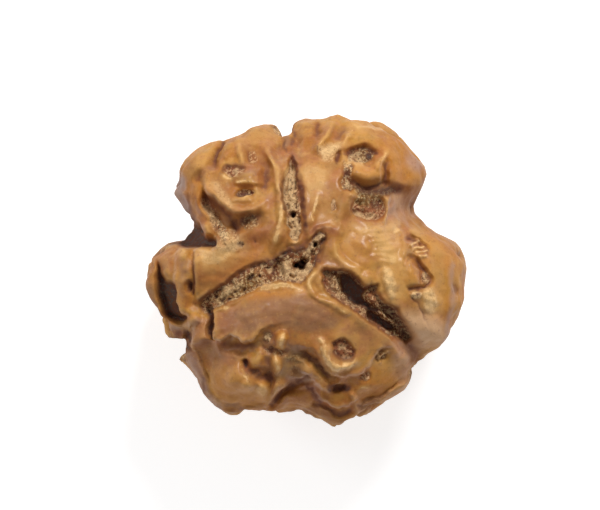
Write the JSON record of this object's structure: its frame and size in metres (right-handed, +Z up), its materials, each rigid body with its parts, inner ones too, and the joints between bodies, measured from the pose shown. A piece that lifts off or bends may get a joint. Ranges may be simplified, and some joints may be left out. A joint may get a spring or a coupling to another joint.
{
  "type": "three mukhi rudraksha",
  "caption": "Rudraksha bead as it grew: the lobed, deeply furrowed woody stone of a fruit, with a groove between each two faces and a natural canal at its poles.",
  "frame": {"origin": "middle of the box round the stone, on the level that its flat spot rests on", "axes": "+Z up to the upper pole along the stone's axis, +Y towards the end of the narrow straight groove, +X to the right as seen from above"},
  "size_m": [0.022, 0.0212, 0.02],
  "materials": {
    "woody_stone": "satin"
  },
  "bodies": {
    "root": {"rudraksha_bead": "woody_stone"}
  },
  "joints": []
}
